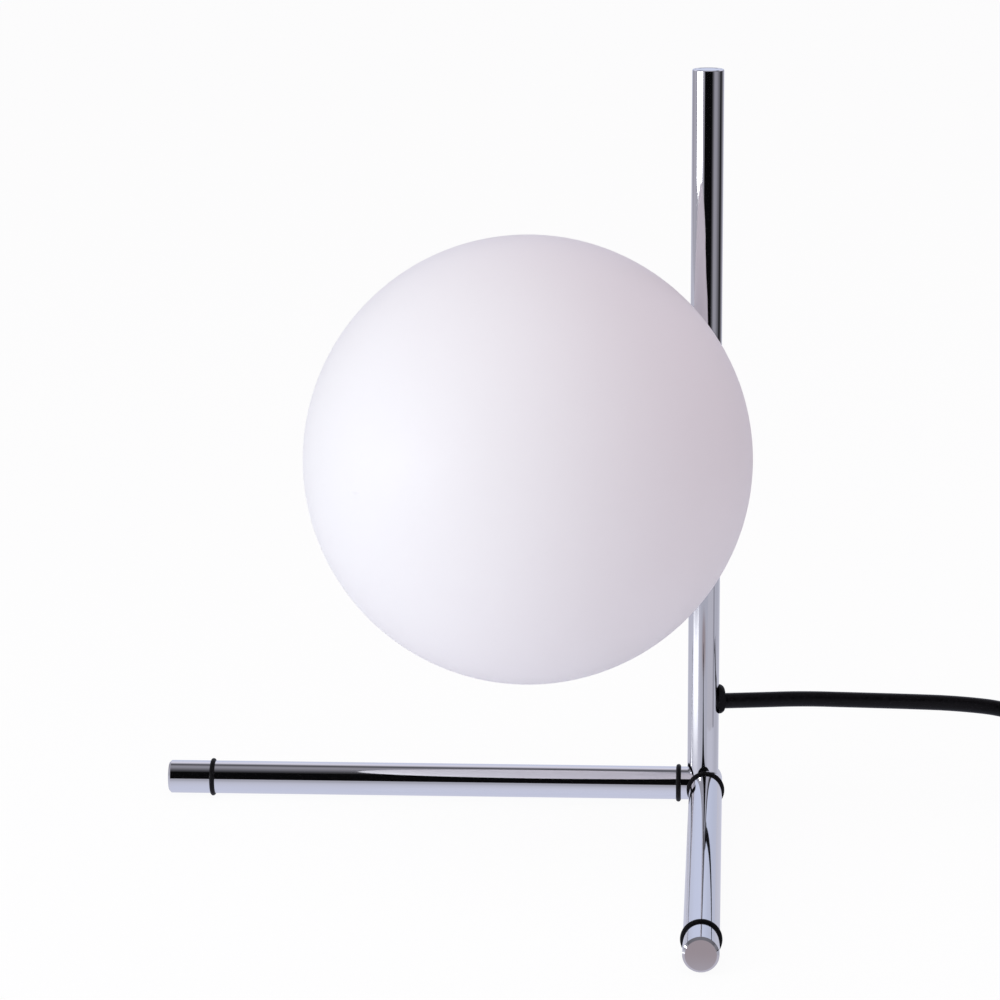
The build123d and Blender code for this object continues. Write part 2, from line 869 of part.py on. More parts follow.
def bend_radii(points):
    """0.45 of the shorter run, over the tangent of half the turn, at each corner."""
    radii = []
    for before, here, after in zip(points, points[1:], points[2:]):
        first = Vector(*here) - Vector(*before)
        second = Vector(*after) - Vector(*here)
        half_turn = math.radians(first.get_angle(second)) / 2
        radii.append(0.45 * min(first.length, second.length) / math.tan(half_turn))
    return radii


def cord_run(name, points):
    radii = bend_radii(points)
    path = FilletPolyline(*points, radius=radii)
    start = Plane(origin=points[0], z_dir=Vector(*points[1]) - Vector(*points[0]))
    tube = sweep(start * Circle(cord_radius), path=path)
    length = path.length
    share = tube.volume / (math.pi * cord_radius**2 * length)
    print(name, "length", round(length, 1), "volume share", round(share, 4))
    print("  radii", [round(r) for r in radii])
    return tube


def coil_point(turn):
    """Centreline of the winding: in on the lower layer, over, and out on the upper."""
    reverse = turn - coil_turns / 2
    if abs(reverse) < 0.25:
        radius = coil_inner_radius + layer_pitch * (0.125 + 2 * reverse**2)
        climb = (1 + math.sin(2 * math.pi * reverse)) / 2
    else:
        radius = coil_inner_radius + layer_pitch * abs(reverse)
        climb = float(reverse > 0)
    angle = -math.pi / 2 - 2 * math.pi * turn
    z = coil_low_z + layer_pitch * climb
    return Vector(coil_x + radius * math.cos(angle), coil_y + radius * math.sin(angle), z)


def coil_heading(turn):
    step = 1e-4
    if turn <= 0:
        return Vector(-1, 0, 0)
    if turn >= coil_turns:
        return Vector(0, -1, 0)
    return (coil_point(turn + step) - coil_point(turn - step)).normalized()


def biarc(start, start_way, end, end_way):
    """Two arcs that meet in the middle and leave both ends in the given directions."""
    chord = end - start
    both = start_way + end_way
    spread = 2 * (1 - start_way.dot(end_way))
    along = chord.dot(both)
    reach = (math.sqrt(along**2 + spread * chord.dot(chord)) - along) / spread
    knee = start + start_way * reach
    hip = end - end_way * reach
    middle = (knee + hip) * 0.5
    way = (hip - knee).normalized()
    return [
        TangentArc(start, middle, tangent=start_way),
        TangentArc(middle, end, tangent=way),
    ]


def cord_coil():
    """One unbroken tube: straight end, biarcs of a quarter turn, straight end."""
    step_count = round(coil_turns * 4)
    turns = [coil_turns * step / step_count for step in range(step_count + 1)]
    spots = [coil_point(turn) for turn in turns]
    ways = [coil_heading(turn) for turn in turns]
    entry = spots[0] - ways[0] * coil_straight
    leave = spots[-1] + ways[-1] * coil_straight
    edges = [Line(entry, spots[0])]
    for step in range(step_count):
        edges += biarc(spots[step], ways[step], spots[step + 1], ways[step + 1])
    edges.append(Line(spots[-1], leave))
    path = Wire(edges)
    start = Plane(origin=entry, z_dir=ways[0])
    tube = sweep(start * Circle(cord_radius), path=path)
    report_coil(path, tube)
    return tube


def report_coil(path, tube):
    length = path.length
    count = 600
    samples = [path.position_at(step / count) for step in range(count + 1)]
    spacing = length / count
    skip = int(3 * cord_diameter / spacing)
    nearest = min(
        (samples[i] - samples[j]).length
        for i in range(count + 1)
        for j in range(i + skip, count + 1)
    )
    share = tube.volume / (math.pi * cord_radius**2 * length)
    print("cord_coil length", round(length, 1), "volume share", round(share, 4))
    print("  least gap to itself", round(nearest - cord_diameter, 2))


def cord_tie():
    """Band round the bundle of turns on the side away from the switch."""
    inner = coil_inner_radius - cord_radius - tie_gap
    outer = coil_outer_radius - layer_pitch / 4 + cord_radius + tie_gap
    low = coil_floor_gap - tie_gap
    high = coil_high_z + cord_radius + tie_gap
    middle = (inner + outer) / 2
    wide = outer - inner
    tall = high - low
    hole = RectangleRounded(wide, tall, cord_radius)
    band = RectangleRounded(wide + 2 * tie_thickness, tall + 2 * tie_thickness, cord_radius + tie_thickness)
    loop = extrude(Plane.XZ * (band - hole), amount=tie_width / 2, both=True)
    turned_to = Rot(0, 0, tie_angle) * Pos(middle, 0, (low + high) / 2) * loop
    return Pos(coil_x, coil_y, 0) * turned_to


# Plug: local Z runs from the cord's entry towards the pins

plug_frame = Plane(origin=(plug_x, plug_y, plug_z), x_dir=(1, 0, 0), z_dir=(0, -1, 0)).location
plug_face = plug_boot + plug_body


def plug_body_solid():
    """Moulded body and boot in one, with side channels for the earth clips."""
    drum = plug_face - plug_drum
    shoulder = (plug_neck_radius - plug_edge, 0, plug_boot)
    neck = (plug_neck_radius, 0, plug_boot + plug_edge)
    outline = [
        Line((0, 0, 0), (plug_boot_tip, 0, 0)),
        Line((plug_boot_tip, 0, 0), (plug_boot_root, 0, plug_boot)),
        Line((plug_boot_root, 0, plug_boot), shoulder),
        TangentArc(shoulder, neck, tangent=(1, 0, 0)),
        Spline(
            neck,
            (plug_radius - 1.5, 0, drum),
            tangents=((0, 0, 1), (1, 0, 0.6)),
        ),
        Line((plug_radius - 1.5, 0, drum), (plug_radius, 0, drum + 1.5)),
        Line((plug_radius, 0, drum + 1.5), (plug_radius, 0, plug_face - 1)),
        Line((plug_radius, 0, plug_face - 1), (plug_radius - 1, 0, plug_face)),
        Line((plug_radius - 1, 0, plug_face), (0, 0, plug_face)),
        Line((0, 0, plug_face), (0, 0, 0)),
    ]
    body = turned(*outline)
    for rib in range(plug_rib_count):
        place = plug_rib_start + rib * plug_rib_pitch
        radius = plug_boot_tip + (plug_boot_root - plug_boot_tip) * place / plug_boot
        body -= pipe(radius - plug_rib_depth, 3 * radius, place, place + plug_rib_width)
    floor = plug_radius - plug_channel_depth
    half = plug_channel_width / 2
    for side in (-1, 1):
        near, far = sorted((side * floor, side * (plug_radius + 1)))
        body -= block(-half, half, near, far, plug_face - plug_drum + 3, plug_face + 1)
        x = side * plug_pin_spacing / 2
        body -= rod(plug_pin_root_radius, plug_face - plug_pin_root, plug_face + 1, x)
    return plug_frame * body


def plug_pins():
    pins = []
    for side in (-1, 1):
        x = side * plug_pin_spacing / 2
        pin = rod(plug_pin_radius, plug_face, plug_face + plug_pin_length, x)
        pin = fillet(pin.edges().group_by(Axis.Z)[-1], plug_pin_tip)
        pin += rod(plug_pin_root_radius, plug_face - plug_pin_root, plug_face, x)
        pins.append(plug_frame * pin)
    return Compound(pins)


def plug_earth_clips():
    floor = plug_radius - plug_channel_depth
    half = plug_channel_width / 2 - 0.6
    clips = []
    for side in (-1, 1):
        near, far = sorted((side * floor, side * (floor + earth_clip_thickness)))
        clip = block(-half, half, near, far, plug_face - plug_drum + 3, plug_face)
        clips.append(plug_frame * clip)
    return Compound(clips)


def nodes():
    made = {
        "front_leg": front_leg(),
        "side_leg": side_leg(),
        "post_bolt": post_bolt(),
        "post_foot_plug": post_foot_plug(),
        "post_tube": post_tube(),
        "post_top_cap": post_top_cap(),
        "post_anchor": post_anchor(),
        "hollow_nipple": hollow_nipple(),
        "fitter_saddle": fitter_saddle(),
        "globe_fitter": globe_fitter(),
        "socket_bracket": socket_bracket(),
        "nipple_nut": nipple_nut(),
        "lamp_socket": lamp_socket(),
        "socket_contacts": socket_contacts(),
        "socket_screws": socket_screws(),
        "earth_screw": earth_screw(),
        "line_core": line_core(),
        "neutral_core": neutral_core(),
        "earth_core": earth_core(),
        "cord_bushing": cord_bushing(),
        "cord_entry_sheath": cord_entry_sheath(),
        "cord_crimp": cord_crimp(),
        "glass_globe": glass_globe(),
        "globe_collar": globe_collar(),
        "globe_seal": globe_seal(),
        "bulb_base": bulb_base(),
        "bulb_pins": bulb_pins(),
        "bulb_envelope": bulb_envelope(),
        "bulb_led_core": bulb_led_core(),
        "switch_base": switch_base(),
        "switch_cover": switch_cover(),
        "switch_rocker": switch_rocker(),
        "switch_boot_lamp_side": switch_boot(1),
        "switch_boot_plug_side": switch_boot(-1),
        "switch_terminals": switch_terminals(),
        "switch_blade": switch_blade(),
        "switch_line_cores": switch_line_cores(),
        "switch_through_cores": switch_through_cores(),
        "switch_screws": switch_screws(),
        "cord_lamp_run": cord_run("cord_lamp_run", lamp_run_points),
        "cord_coil_run": cord_run("cord_coil_run", coil_run_points),
        "cord_coil": cord_coil(),
        "cord_plug_run": cord_run("cord_plug_run", plug_run_points),
        "cord_tie": cord_tie(),
        "plug_body": plug_body_solid(),
        "plug_pins": plug_pins(),
        "plug_earth_clips": plug_earth_clips(),
    }
    legs = {"front": front_leg_frame, "side": side_leg_frame}
    for leg, frame in legs.items():
        for ring, place in ring_places.items():
            made[f"foot_ring_{leg}_{ring}"] = foot_ring(frame, place)
    return made


os.makedirs("parts", exist_ok=True)
for name, shape in nodes().items():
    export_step(shape, f"parts/{name}.step")
print("upright at", round(post_x, 2), round(post_y, 2), "globe reach", round(globe_reach, 2))
print("cord exit", [round(v, 2) for v in cord_exit], "plug entry", round(plug_x, 2), plug_y, plug_z)
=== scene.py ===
import math

import bpy
from mathutils import Matrix, Vector


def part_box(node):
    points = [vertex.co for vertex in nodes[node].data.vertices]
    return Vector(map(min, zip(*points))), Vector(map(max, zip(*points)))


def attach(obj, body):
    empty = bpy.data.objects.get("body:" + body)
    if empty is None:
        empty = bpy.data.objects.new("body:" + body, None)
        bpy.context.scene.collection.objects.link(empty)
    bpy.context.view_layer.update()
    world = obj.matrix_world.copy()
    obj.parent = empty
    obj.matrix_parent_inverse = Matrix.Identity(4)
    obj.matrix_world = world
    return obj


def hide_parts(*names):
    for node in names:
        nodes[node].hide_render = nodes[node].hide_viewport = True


# Glass globe table lamp. Metres, +Z up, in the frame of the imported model.
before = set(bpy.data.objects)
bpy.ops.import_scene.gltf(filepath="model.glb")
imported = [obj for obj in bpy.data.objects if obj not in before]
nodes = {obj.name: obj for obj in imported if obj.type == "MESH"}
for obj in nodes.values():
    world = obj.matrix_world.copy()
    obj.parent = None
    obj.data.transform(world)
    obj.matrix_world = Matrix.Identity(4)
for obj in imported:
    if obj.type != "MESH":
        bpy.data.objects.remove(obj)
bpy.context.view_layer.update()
print("frame loaded:", len(nodes), "nodes")


def middleOf(node):
    low, high = (Vector(corner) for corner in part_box(node))
    return (low + high) / 2


upright = middleOf("post_tube")
upright.z = 0
scene = bpy.context.scene

# Camera, from the photo's outlines of the globe, the upright and the bars
view = {
    "focalPixels": 4100.0,
    "imagePixels": 1000.0,
    "sensor": 36.0,  # mm
    "target": Vector((-0.10483, 0.0, 0.158835)),  # from the upright's foot
    "distance": 2.09982,
    "turn": 0.0575,  # to the right of the front
    "rise": 0.2149,
    "roll": -0.0031,
}


def makeCamera():
    level = math.cos(view["rise"])
    back = Vector(
        (
            math.sin(view["turn"]) * level,
            -math.cos(view["turn"]) * level,
            math.sin(view["rise"]),
        )
    )
    right = (-back).cross(Vector((0, 0, 1))).normalized()
    up = right.cross(-back)
    lean = Matrix.Rotation(view["roll"], 3, back)
    axes = Matrix((lean @ right, lean @ up, back)).transposed()
    data = bpy.data.cameras.new("camera")
    data.sensor_width = view["sensor"]
    data.lens = view["focalPixels"] / view["imagePixels"] * view["sensor"]
    item = bpy.data.objects.new("camera", data)
    scene.collection.objects.link(item)
    place = upright + view["target"] + back * view["distance"]
    item.matrix_world = Matrix.Translation(place) @ axes.to_4x4()
    scene.camera = item


makeCamera()
scene.view_settings.view_transform = "Standard"
print("camera placed")


# Materials: each finish is a shader with its own grain
grainSpan = (0.3, 0.7)  # where most of the noise lies
grainDetail = 3.0
bumpStrength = 0.4


def newFinish(name, **sockets):
    material = bpy.data.materials.new(name)
    material.use_nodes = True
    shader = material.node_tree.nodes["Principled BSDF"]
    for socket, value in sockets.items():
        if isinstance(value, tuple):
            value = (*value, 1.0)
        shader.inputs[socket.replace("_", " ")].default_value = value
    return material


def addGrain(material, scale, stretch=(1, 1, 1)):
    tree = material.node_tree
    place = tree.nodes.new("ShaderNodeTexCoord")
    mapping = tree.nodes.new("ShaderNodeMapping")
    mapping.inputs["Scale"].default_value = stretch
    noise = tree.nodes.new("ShaderNodeTexNoise")
    noise.inputs["Scale"].default_value = scale
    noise.inputs["Detail"].default_value = grainDetail
    tree.links.new(place.outputs["Object"], mapping.inputs["Vector"])
    tree.links.new(mapping.outputs["Vector"], noise.inputs["Vector"])
    return noise.outputs["Fac"]


def remap(tree, value, low, high, toLow=0.0, toHigh=1.0, blend="LINEAR"):
    spread = tree.nodes.new("ShaderNodeMapRange")
    spread.interpolation_type = blend
    spread.inputs["From Min"].default_value = low
    spread.inputs["From Max"].default_value = high
    spread.inputs["To Min"].default_value = toLow
    spread.inputs["To Max"].default_value = toHigh
    tree.links.new(value, spread.inputs["Value"])
    return spread.outputs["Result"]


def varyRoughness(material, grain, low, high):
    tree = material.node_tree
    shader = tree.nodes["Principled BSDF"]
    tree.links.new(remap(tree, grain, *grainSpan, low, high), shader.inputs["Roughness"])


def varyColour(material, grain, dark, light):
    tree = material.node_tree
    ramp = tree.nodes.new("ShaderNodeValToRGB")
    for mark, place, colour in zip(ramp.color_ramp.elements, grainSpan, (dark, light)):
        mark.position = place
        mark.color = (*colour, 1)
    tree.links.new(grain, ramp.inputs["Fac"])
    shader = tree.nodes["Principled BSDF"]
    tree.links.new(ramp.outputs["Color"], shader.inputs["Base Color"])


def addBump(material, grain, height):
    tree = material.node_tree
    bump = tree.nodes.new("ShaderNodeBump")
    bump.inputs["Strength"].default_value = bumpStrength
    bump.inputs["Distance"].default_value = height
    tree.links.new(grain, bump.inputs["Height"])
    shader = tree.nodes["Principled BSDF"]
    tree.links.new(bump.outputs["Normal"], shader.inputs["Normal"])


def dressNodes(finish, names):
    for name in names:
        mesh = nodes[name].data
        if not mesh.materials:
            mesh.materials.append(finish)
        for place in range(len(mesh.materials)):
            mesh.materials[place] = finish


def polish(name, finish, **sockets):
    # One colour, with a cloud in its gloss
    material = newFinish(name, Base_Color=finish["colour"], **sockets)
    varyRoughness(material, addGrain(material, finish["cloud"]), *finish["roughness"])
    dressNodes(material, finish["nodes"])


def texture(name, finish, **sockets):
    # A grain in colour and gloss, and in relief where the finish gives a height
    material = newFinish(name, **sockets)
    grain = addGrain(material, finish["grain"], finish.get("stretch", (1, 1, 1)))
    varyColour(material, grain, finish["dark"], finish["light"])
    varyRoughness(material, grain, *finish["roughness"])
    if "height" in finish:
        addBump(material, grain, finish["height"])
    dressNodes(material, finish["nodes"])
    return material


# Chrome plate: clean, with the faintest cloud of handling in its gloss
chrome = {
    "colour": (0.80, 0.81, 0.84),
    "roughness": (0.03, 0.05),
    "cloud": 30.0,
    "nodes": ("front_leg", "side_leg", "post_tube", "post_top_cap", "fitter_saddle", "globe_fitter"),
}
polish("chrome_plate", chrome, Metallic=1.0)

# Opal glass: white in its depth, satin on its surface
opal = {
    "colour": (0.87, 0.86, 0.89),
    "roughness": (0.40, 0.48),
    "cloud": 9.0,
    "shine": 0.3,
    "nodes": ("glass_globe",),
}
polish("opal_glass", opal, IOR=1.48, Specular_IOR_Level=opal["shine"])

# Black rubber of the rings and the bushing
rubber = {
    "dark": (0.002, 0.0018, 0.0025),
    "light": (0.006, 0.0055, 0.007),
    "roughness": (0.42, 0.58),
    "shine": 0.15,
    "grain": 900.0,
    "height": 0.00004,
    "nodes": (
        "foot_ring_front_inner",
        "foot_ring_front_outer",
        "foot_ring_side_inner",
        "foot_ring_side_outer",
        "cord_bushing",
    ),
}
texture("black_rubber", rubber, IOR=1.5, Specular_IOR_Level=rubber["shine"])

# Satin PVC of the cord, its sleeves and the plug
sheath = {
    "dark": (0.002, 0.0018, 0.0025),
    "light": (0.005, 0.0045, 0.006),
    "roughness": (0.32, 0.44),
    "shine": 0.15,
    "grain": 600.0,
    "height": 0.00003,
    "nodes": ("cord_entry_sheath", "switch_boot_lamp_side", "switch_boot_plug_side", "plug_body"),
}
sheathFinish = texture("cord_sheath", sheath, IOR=1.5, Specular_IOR_Level=sheath["shine"])

# Switch shells: black plastic with a spark-eroded grain; the rocker is smoother
shell = {
    "dark": (0.006, 0.006, 0.007),
    "light": (0.012, 0.012, 0.013),
    "roughness": (0.34, 0.46),
    "grain": 1500.0,
    "height": 0.00005,
    "nodes": ("switch_base", "switch_cover", "cord_tie"),
}
texture("switch_shell", shell, IOR=1.5)

rocker = {
    "colour": (0.008, 0.008, 0.009),
    "roughness": (0.14, 0.22),
    "cloud": 200.0,
    "nodes": ("switch_rocker",),
}
polish("rocker_plastic", rocker, IOR=1.5)

# Small metals and the parts inside
brushed = (1, 0.2, 1)
metals = {
    "zinc_plate": {
        "dark": (0.42, 0.42, 0.38),
        "light": (0.62, 0.61, 0.56),
        "roughness": (0.26, 0.42),
        "grain": 400.0,
        "stretch": brushed,
        "nodes": (
            "post_bolt",
            "post_foot_plug",
            "post_anchor",
            "hollow_nipple",
            "socket_bracket",
            "nipple_nut",
            "cord_crimp",
            "bulb_pins",
            "switch_screws",
        ),
    },
    "bare_brass": {
        "dark": (0.60, 0.42, 0.16),
        "light": (0.78, 0.58, 0.26),
        "roughness": (0.22, 0.36),
        "grain": 500.0,
        "stretch": brushed,
        "nodes": (
            "socket_contacts",
            "socket_screws",
            "earth_screw",
            "switch_terminals",
            "switch_blade",
        ),
    },
    "nickel_plate": {
        "dark": (0.60, 0.57, 0.50),
        "light": (0.74, 0.71, 0.64),
        "roughness": (0.14, 0.26),
        "grain": 700.0,
        "stretch": brushed,
        "nodes": ("plug_pins", "plug_earth_clips"),
    },
}
for name, metal in metals.items():
    texture(name, metal, Metallic=1.0)

plastics = {
    "steatite": {
        "dark": (0.72, 0.69, 0.60),
        "light": (0.82, 0.80, 0.73),
        "roughness": (0.22, 0.34),
        "grain": 350.0,
        "nodes": ("lamp_socket",),
    },
    "white_plastic": {
        "dark": (0.74, 0.74, 0.71),
        "light": (0.80, 0.80, 0.78),
        "roughness": (0.38, 0.50),
        "grain": 500.0,
        "nodes": ("globe_collar", "bulb_base"),
    },
    "milky_silicone": {
        "dark": (0.62, 0.62, 0.60),
        "light": (0.70, 0.70, 0.68),
        "roughness": (0.40, 0.55),
        "grain": 300.0,
        "nodes": ("globe_seal",),
    },
    "light_board": {
        "dark": (0.80, 0.62, 0.12),
        "light": (0.86, 0.82, 0.62),
        "roughness": (0.45, 0.60),
        "grain": 260.0,
        "nodes": ("bulb_led_core",),
    },
    "brown_insulation": {
        "dark": (0.085, 0.032, 0.014),
        "light": (0.12, 0.048, 0.022),
        "roughness": (0.32, 0.44),
        "grain": 500.0,
        "nodes": ("line_core", "switch_line_cores"),
    },
    "blue_insulation": {
        "dark": (0.012, 0.06, 0.30),
        "light": (0.02, 0.09, 0.40),
        "roughness": (0.32, 0.44),
        "grain": 500.0,
        "nodes": ("neutral_core", "switch_through_cores"),
    },
    "green_insulation": {
        "dark": (0.03, 0.22, 0.03),
        "light": (0.62, 0.55, 0.03),
        "roughness": (0.32, 0.44),
        "grain": 120.0,
        "nodes": ("earth_core",),
    },
}
for name, plastic in plastics.items():
    texture(name, plastic, IOR=1.48)

clear = {
    "colour": (0.93, 0.93, 0.91),
    "roughness": (0.05, 0.12),
    "cloud": 80.0,
    "nodes": ("bulb_envelope",),
}
polish("clear_polycarbonate", clear, IOR=1.58, Transmission_Weight=0.9)
print("finishes made")


# Cord: the route's points are listed in millimetres, as the maker laid them
cord = {
    "radius": 0.004,
    "rings": 8,
    "smoothing": 16,
    "lampRun": [
        (137.99, 128.63, 53.5),
        (153.84, 130.86, 53.5),
        (178.0, 133.4, 53.9),
        (204.0, 135.2, 53.0),
        (232.0, 136.4, 52.2),
        (258.0, 137.2, 51.3),
        (285.0, 138.0, 48.3),
        (311.0, 139.0, 37.3),
        (335.0, 140.8, 21.5),
        (359.0, 143.5, 8.8),
        (382.6, 145.9, 3.7),
        (403.0, 141.2, 4.9),
        (420.5, 127.9, 7.2),
        (430.0, 108.1, 9.5),
        (430.0, 86.0, 9.5),
    ],
    "coilRun": [
        (430.0, -20.0, 9.5),
        (430.0, -37.0, 9.5),
        (424.6, -54.0, 8.4),
        (412.8, -67.0, 6.9),
        (396.0, -74.3, 5.6),
        (372.0, -74.97, 5.3),
    ],
    "plugRun": [
        (387.57, -49.0, 13.96),
        (387.9, -65.0, 16.0),
        (387.4, -81.0, 17.6),
        (387.57, -95.0, 18.5),
        (387.57, -109.0, 18.5),
    ],
    "coilMiddle": (336.0, -23.4),
    "coilInner": 31.0,
    "coilPitch": 8.66,
    "coilTurns": 4.75,
    "climbTurns": 0.25,  # each side of the middle of the winding
    "coilFloor": 5.3,
    "pointsPerTurn": 16,
}


def coilPoint(turn):
    # In on the lower layer, over, and out on the upper
    pitch = cord["coilPitch"]
    climbTurns = cord["climbTurns"]
    reverse = turn - cord["coilTurns"] / 2
    if abs(reverse) < climbTurns:
        radius = cord["coilInner"] + pitch * (climbTurns + reverse**2 / climbTurns) / 2
        climb = (1 + math.sin(math.pi / 2 * reverse / climbTurns)) / 2
    else:
        radius = cord["coilInner"] + pitch * abs(reverse)
        climb = float(reverse > 0)
    # The smooth line cuts inside its points, so they stand a little further out
    radius /= (1 + math.cos(math.pi / cord["pointsPerTurn"]) ** 2) / 2
    angle = -math.pi / 2 - 2 * math.pi * turn
    x, y = cord["coilMiddle"]
    return (
        x + radius * math.cos(angle),
        y + radius * math.sin(angle),
        cord["coilFloor"] + pitch * climb,
    )


def coilPoints():
    count = round(cord["coilTurns"] * cord["pointsPerTurn"])
    return [coilPoint(step / cord["pointsPerTurn"]) for step in range(count + 1)]


def layCord(name, points):
    data = bpy.data.curves.new(name, "CURVE")
    data.dimensions = "3D"
    data.resolution_u = cord["smoothing"]
    data.bevel_depth = cord["radius"]
    data.bevel_resolution = cord["rings"]
    data.use_fill_caps = True
    line = data.splines.new("NURBS")
    line.points.add(len(points) - 1)
    for spot, (x, y, z) in zip(line.points, points):
        spot.co = (x / 1000, y / 1000, z / 1000, 1)
    line.order_u = 3
    line.use_endpoint_u = True
    item = bpy.data.objects.new(name, data)
    scene.collection.objects.link(item)
    data.materials.append(sheathFinish)
    return item


lampCord = layCord("lamp_cord", cord["lampRun"])
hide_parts("cord_lamp_run")
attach(lampCord, "lamp")

plugCord = layCord("plug_cord", cord["coilRun"] + coilPoints() + cord["plugRun"])
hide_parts("cord_coil_run", "cord_coil", "cord_plug_run")
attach(plugCord, "lamp")
print("cords laid")


# Studio: a pale glossy table, soft light from the left, and the room that the chrome mirrors
studio = {
    "table": (-4.0, 4.5, -1.40, 9.0),  # left, right, front, back, from the upright
    "tableColour": (0.92, 0.93, 0.95),
    "tableRoughness": 0.6,
    "whiteShare": 0.92,  # of what the camera sees of the table
    "tableGlow": 0.13,  # lights the globe from below
    "skyLeft": (0.59, 0.59, 0.605),
    "skyRight": (0.65, 0.545, 0.598),
    "skyBehind": (0.54, 0.47, 0.52),
    "mirroredTable": (-1.6, 0.75, -1.0, 3.0),  # the part that the chrome shows
    "paleAbove": (0.68, 0.70, 0.85),
    "paleAlong": (0.64, 0.63, 0.72),
    # Painted reflection: a warm-dark patch in the glowing table sheet, round a spot in front of the
    # front leg, for the chrome there to mirror
    "paintedWarmDark": (0.47, 0.40, 0.43),
    "frontOfLeg": Vector((0.0015, -0.345, 0)),
    "paintedWarmDarkReach": (0.03, 0.11),
    "mirroredGloss": 0.12,
    "mirroredShare": 0.33,  # most that the table mirrors
    "wallsEnd": (0.28, 0.48),  # how steeply the chrome looks up, where walls give way to ceiling
    "behindFrom": -0.3,
    "aim": Vector((-0.08, -0.08, 0.2)),
}
roomTints = {"plain": (1.0, 0.97, 1.10), "far": (1.0, 1.06, 1.33)}
# The room's walls, by degrees round the upright from the right: brightness and tint
walls = [
    (-180, 0.42, "plain"),
    (-118, 0.4, "plain"),
    (-111, 0.003, "plain"),
    (-62, 0.003, "plain"),
    (-55, 0.05, "plain"),
    (-48, 0.16, "plain"),
    (-39, 0.33, "plain"),
    (-24, 0.33, "plain"),
    (-14, 0.25, "plain"),
    (-4, 0.16, "plain"),
    (5, 0.11, "plain"),
    (12, 0.012, "plain"),
    (19, 0.012, "plain"),
    (28, 0.07, "plain"),
    (44, 0.27, "plain"),
    (62, 0.52, "plain"),
    (76, 0.54, "far"),
    (90, 0.64, "far"),
    (104, 0.62, "far"),
    (128, 0.35, "plain"),
    (147, 0.38, "plain"),
    (163, 0.46, "plain"),
    (180, 0.42, "plain"),
]
# The room overhead, by degrees from the front's horizon over to the back's
ceiling = [
    (0, 0.003, "plain"),
    (46, 0.003, "plain"),
    (54, 0.05, "plain"),
    (62, 0.1, "plain"),
    (70, 0.18, "plain"),
    (87, 0.32, "plain"),
    (97, 0.26, "plain"),
    (107, 0.06, "plain"),
    (117, 0.26, "plain"),
    (124, 0.62, "plain"),
    (131, 0.8, "plain"),
    (160, 0.64, "far"),
    (180, 0.64, "far"),
]


def blendColours(tree, share, *colours):
    mix = tree.nodes.new("ShaderNodeMix")
    mix.data_type = "RGBA"
    tree.links.new(share, mix.inputs["Factor"])
    for socket, colour in zip("AB", colours):
        if isinstance(colour, tuple):
            mix.inputs[socket].default_value = (*colour, 1)
        else:
            tree.links.new(colour, mix.inputs[socket])
    return mix.outputs["Result"]


def blendShaders(tree, share, first, second):
    mix = tree.nodes.new("ShaderNodeMixShader")
    tree.links.new(share, mix.inputs[0])
    tree.links.new(first.outputs[0], mix.inputs[1])
    tree.links.new(second.outputs[0], mix.inputs[2])
    return mix


def showInChromeOnly(item):
    item.visible_camera = False
    item.visible_diffuse = False
    item.visible_shadow = False
    item.visible_transmission = False


def flatMesh(name, left, right, front, back):
    mesh = bpy.data.meshes.new(name)
    corners = [(left, front), (right, front), (right, back), (left, back)]
    mesh.from_pydata([(upright.x + x, upright.y + y, 0) for x, y in corners], [], [(0, 1, 2, 3)])
    item = bpy.data.objects.new(name, mesh)
    scene.collection.objects.link(item)
    return item


def makeTable():
    item = flatMesh("table_top", *studio["table"])
    item.visible_glossy = False
    material = newFinish("table_white", Base_Color=studio["tableColour"])
    shader = material.node_tree.nodes["Principled BSDF"]
    shader.inputs["Roughness"].default_value = studio["tableRoughness"]
    shader.inputs["Emission Color"].default_value = (1, 1, 1, 1)
    shader.inputs["Emission Strength"].default_value = studio["tableGlow"]
    tree = material.node_tree
    path = tree.nodes.new("ShaderNodeLightPath")
    white = tree.nodes.new("ShaderNodeEmission")
    white.inputs["Color"].default_value = (1, 1, 1, 1)
    share = tree.nodes.new("ShaderNodeMath")
    share.operation = "MULTIPLY"
    share.inputs[1].default_value = studio["whiteShare"]
    tree.links.new(path.outputs["Is Camera Ray"], share.inputs[0])
    forCamera = blendShaders(tree, share.outputs[0], shader, white)
    tree.links.new(forCamera.outputs[0], tree.nodes["Material Output"].inputs["Surface"])
    item.data.materials.append(material)


